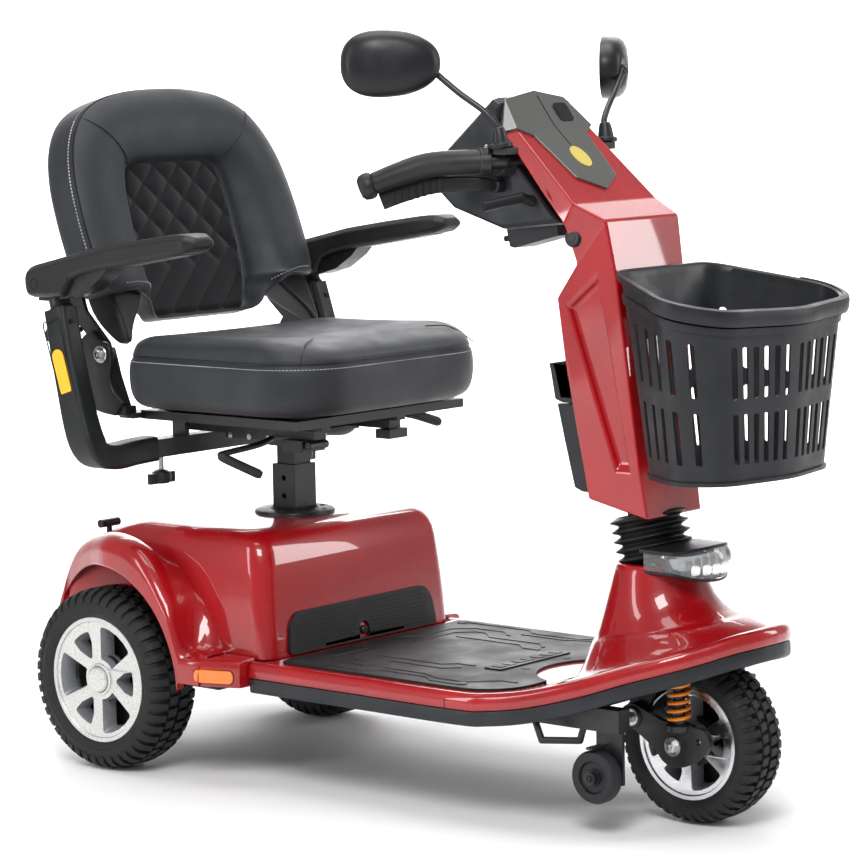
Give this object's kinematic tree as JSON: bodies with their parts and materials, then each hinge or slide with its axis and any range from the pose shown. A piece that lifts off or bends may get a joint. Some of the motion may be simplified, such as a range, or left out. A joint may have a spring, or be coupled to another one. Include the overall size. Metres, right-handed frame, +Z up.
{
  "type": "mobility scooter",
  "caption": "Tricycle mobility scooter with a swivelling padded seat, flip-up armrests, tilting steering tiller, lift-off front basket, mirrors and a flat foot deck.",
  "frame": {"origin": "on the ground, centred under the object's bounding box", "axes": "+Z up, -Y is the front (the steered wheel and basket), -X is the rider's right"},
  "size_m": [0.584, 1.16, 1.037],
  "materials": {
    "red_paint": "high gloss",
    "grey_trim": "satin",
    "black_plastic": "fine grain",
    "frame_paint": "satin powder coat",
    "tyre_rubber": "matt",
    "wheel_silver": "painted silver",
    "wheel_bright": "bright silver",
    "seat_leather": "fine grain",
    "soft_rubber": "matt",
    "lamp_clear": "clear",
    "amber": "prismatic",
    "reflector_yellow": "prismatic",
    "badge_yellow": "satin",
    "spring_orange": "gloss",
    "screen_grey": "gloss",
    "mirror_glass": "polished",
    "bolt_steel": "bright zinc",
    "cast_case": "as cast",
    "led_white": "gloss"
  },
  "bodies": {
    "chassis": {"frame": "frame_paint", "deck_pan": "grey_trim", "deck_cover": "red_paint", "front_shroud": "red_paint", "floor_mat": "soft_rubber", "rear_shroud": "red_paint", "kick_panel": "soft_rubber", "side_reflectors": "amber", "batteries": "grey_trim", "controller": "black_plastic", "transaxle": "cast_case", "seat_post_outer": "frame_paint", "headlight": "lamp_clear"},
    "rear_wheel_right": {"rear_tyre_right": "tyre_rubber", "rear_rim_right": "wheel_silver"},
    "rear_wheel_left": {"rear_tyre_left": "tyre_rubber", "rear_rim_left": "wheel_silver"},
    "antitip_right": {"antitip_wheel_right": "soft_rubber"},
    "antitip_left": {"antitip_wheel_left": "soft_rubber"},
    "steering": {"steering_fork": "frame_paint", "suspension_springs": "spring_orange", "bellows": "soft_rubber"},
    "swing_arm": {"swing_arms": "frame_paint"},
    "front_wheel": {"front_tyre": "tyre_rubber", "front_rim": "wheel_bright"},
    "tiller": {"tiller_shell": "red_paint", "tiller_column": "frame_paint", "rear_pocket": "grey_trim", "display_cover": "screen_grey", "console": "grey_trim", "handlebar": "frame_paint", "grips": "soft_rubber", "mirror_stems": "black_plastic"},
    "throttle_right": {"throttle_right": "black_plastic"},
    "throttle_left": {"throttle_left": "black_plastic"},
    "tilt_lever": {"tilt_lever": "black_plastic"},
    "ignition_key": {"ignition_key": "bolt_steel"},
    "speed_dial": {"speed_dial": "black_plastic"},
    "horn_button": {"horn_button": "amber"},
    "mirror_right": {"mirror_head_right": "black_plastic"},
    "mirror_left": {"mirror_head_left": "black_plastic"},
    "basket": {"basket": "black_plastic"},
    "basket_handle": {"basket_handle": "black_plastic"},
    "seat_post": {"seat_post_inner": "frame_paint"},
    "swivel": {"swivel_base": "frame_paint"},
    "seat": {"seat_frame": "frame_paint", "seat_cushion": "seat_leather"},
    "seat_back": {"seat_back": "seat_leather", "back_arms": "frame_paint"},
    "armrest_post_right": {"armrest_post_right": "black_plastic"},
    "armrest_post_left": {"armrest_post_left": "black_plastic"},
    "armrest_riser_right": {"armrest_riser_right": "frame_paint"},
    "armrest_riser_left": {"armrest_riser_left": "frame_paint"},
    "armrest_right": {"armrest_right": "black_plastic"},
    "armrest_left": {"armrest_left": "black_plastic"},
    "swivel_lever": {"swivel_lever": "frame_paint"},
    "slide_lever": {"slide_lever": "frame_paint"},
    "freewheel_lever": {"freewheel_lever": "black_plastic"},
    "width_knob_right": {"width_knob_right": "black_plastic"},
    "width_knob_left": {"width_knob_left": "black_plastic"}
  },
  "joints": [
    {"name": "rear_wheel_right_spin", "type": "hinge", "parent": "chassis", "child": "rear_wheel_right", "pos_m": [-0.221, 0.4355, 0.13], "axis": [1, 0, 0], "continuous": true},
    {"name": "antitip_right_spin", "type": "hinge", "parent": "chassis", "child": "antitip_right", "pos_m": [-0.155, -0.379, 0.079], "axis": [1, 0, 0], "continuous": true},
    {"name": "rear_wheel_left_spin", "type": "hinge", "parent": "chassis", "child": "rear_wheel_left", "pos_m": [0.221, 0.4355, 0.13], "axis": [1, 0, 0], "continuous": true},
    {"name": "antitip_left_spin", "type": "hinge", "parent": "chassis", "child": "antitip_left", "pos_m": [0.155, -0.379, 0.079], "axis": [1, 0, 0], "continuous": true},
    {"name": "steering_turn", "type": "hinge", "parent": "chassis", "child": "steering", "pos_m": [0, -0.357, 0.37], "axis": [0, 0.2368, 0.9715], "range_deg": [-38, 38]},
    {"name": "front_suspension", "type": "hinge", "parent": "steering", "child": "swing_arm", "pos_m": [0, -0.37, 0.141], "axis": [1, 0, 0], "range_deg": [-8, 3], "stiffness_Nm_per_rad": 300, "springref_deg": 2.86, "deforming": ["suspension_springs"]},
    {"name": "front_wheel_spin", "type": "hinge", "parent": "swing_arm", "child": "front_wheel", "pos_m": [0, -0.434, 0.109], "axis": [1, 0, 0], "continuous": true},
    {"name": "tiller_tilt", "type": "hinge", "parent": "steering", "child": "tiller", "pos_m": [0, -0.357, 0.37], "axis": [1, 0, 0], "range_deg": [-2, 10], "deforming": ["bellows"]},
    {"name": "throttle_right_press", "type": "hinge", "parent": "tiller", "child": "throttle_right", "pos_m": [-0.09, -0.176, 0.832], "axis": [1, 0, 0], "range_deg": [-6, 6], "stiffness_Nm_per_rad": 1.5},
    {"name": "throttle_left_press", "type": "hinge", "parent": "tiller", "child": "throttle_left", "pos_m": [0.09, -0.176, 0.832], "axis": [1, 0, 0], "range_deg": [-6, 6], "stiffness_Nm_per_rad": 1.5},
    {"name": "tilt_lever_press", "type": "hinge", "parent": "tiller", "child": "tilt_lever", "pos_m": [-0.082, -0.229, 0.812], "axis": [0, 1, 0], "range_deg": [-15, 0], "stiffness_Nm_per_rad": 1, "springref_deg": 5.73},
    {"name": "ignition_key_turn", "type": "hinge", "parent": "tiller", "child": "ignition_key", "pos_m": [0.048, -0.09558, 0.89409], "axis": [0, 0.6417, 0.7669], "range_deg": [-90, 0]},
    {"name": "speed_dial_turn", "type": "hinge", "parent": "tiller", "child": "speed_dial", "pos_m": [0, -0.10018, 0.89794], "axis": [0, 0.6417, 0.7669], "range_deg": [-135, 135]},
    {"name": "horn_button_press", "type": "slide", "parent": "tiller", "child": "horn_button", "axis": [0, -0.6417, -0.7669], "range_m": [0, 0.0025], "stiffness_N_per_m": 300, "springref_m": -0.002},
    {"name": "mirror_right_turn", "type": "hinge", "parent": "tiller", "child": "mirror_right", "pos_m": [-0.15, -0.12, 0.984], "axis": [0, 0, 1], "range_deg": [-20, 20]},
    {"name": "mirror_left_turn", "type": "hinge", "parent": "tiller", "child": "mirror_left", "pos_m": [0.1975, -0.1675, 0.9765], "axis": [0, 0, 1], "range_deg": [-20, 20]},
    {"name": "basket_lift", "type": "slide", "parent": "tiller", "child": "basket", "axis": [0, 0, 1], "range_m": [0, 0.05]},
    {"name": "basket_handle_swing", "type": "hinge", "parent": "basket", "child": "basket_handle", "pos_m": [0, -0.44, 0.7], "axis": [1, 0, 0], "range_deg": [-95, 0]},
    {"name": "seat_height", "type": "slide", "parent": "chassis", "child": "seat_post", "axis": [0, 0, 1], "range_m": [-0.02, 0.05]},
    {"name": "seat_swivel", "type": "hinge", "parent": "seat_post", "child": "swivel", "pos_m": [0, 0.283, 0.46], "axis": [0, 0, 1], "range_deg": [-90, 90]},
    {"name": "seat_slide", "type": "slide", "parent": "swivel", "child": "seat", "axis": [0, 1, 0], "range_m": [-0.04, 0.04]},
    {"name": "back_fold", "type": "hinge", "parent": "seat", "child": "seat_back", "pos_m": [0, 0.453, 0.591], "axis": [1, 0, 0], "range_deg": [0, 55]},
    {"name": "armrest_right_width", "type": "slide", "parent": "seat", "child": "armrest_post_right", "axis": [-1, 0, 0], "range_m": [0, 0.04]},
    {"name": "armrest_right_height", "type": "slide", "parent": "armrest_post_right", "child": "armrest_riser_right", "axis": [0, 0.2997, 0.954], "range_m": [0, 0.05]},
    {"name": "armrest_right_flip", "type": "hinge", "parent": "armrest_riser_right", "child": "armrest_right", "pos_m": [-0.262, 0.509, 0.693], "axis": [-1, 0, 0], "range_deg": [0, 90]},
    {"name": "width_knob_right_turn", "type": "hinge", "parent": "seat", "child": "width_knob_right", "pos_m": [-0.15, 0.403, 0.41], "axis": [0, 0, 1], "continuous": true},
    {"name": "armrest_left_width", "type": "slide", "parent": "seat", "child": "armrest_post_left", "axis": [1, 0, 0], "range_m": [0, 0.04]},
    {"name": "armrest_left_height", "type": "slide", "parent": "armrest_post_left", "child": "armrest_riser_left", "axis": [0, 0.2997, 0.954], "range_m": [0, 0.05]},
    {"name": "armrest_left_flip", "type": "hinge", "parent": "armrest_riser_left", "child": "armrest_left", "pos_m": [0.262, 0.509, 0.693], "axis": [-1, 0, 0], "range_deg": [0, 90]},
    {"name": "width_knob_left_turn", "type": "hinge", "parent": "seat", "child": "width_knob_left", "pos_m": [0.15, 0.403, 0.41], "axis": [0, 0, 1], "continuous": true},
    {"name": "swivel_lever_lift", "type": "hinge", "parent": "swivel", "child": "swivel_lever", "pos_m": [-0.094, 0.238, 0.471], "axis": [0, 1, 0], "range_deg": [0, 12], "stiffness_Nm_per_rad": 2, "springref_deg": -5.73},
    {"name": "slide_lever_lift", "type": "hinge", "parent": "seat", "child": "slide_lever", "pos_m": [0.096, 0.206, 0.492], "axis": [0, 1, 0], "range_deg": [-7, 0], "stiffness_Nm_per_rad": 2, "springref_deg": 5.73},
    {"name": "freewheel_lever_pull", "type": "slide", "parent": "chassis", "child": "freewheel_lever", "axis": [0, 0, 1], "range_m": [0, 0.015]}
  ],
  "couplings": [
    {"joint": "throttle_left_press", "follows": "throttle_right_press", "ratio": -1}
  ]
}
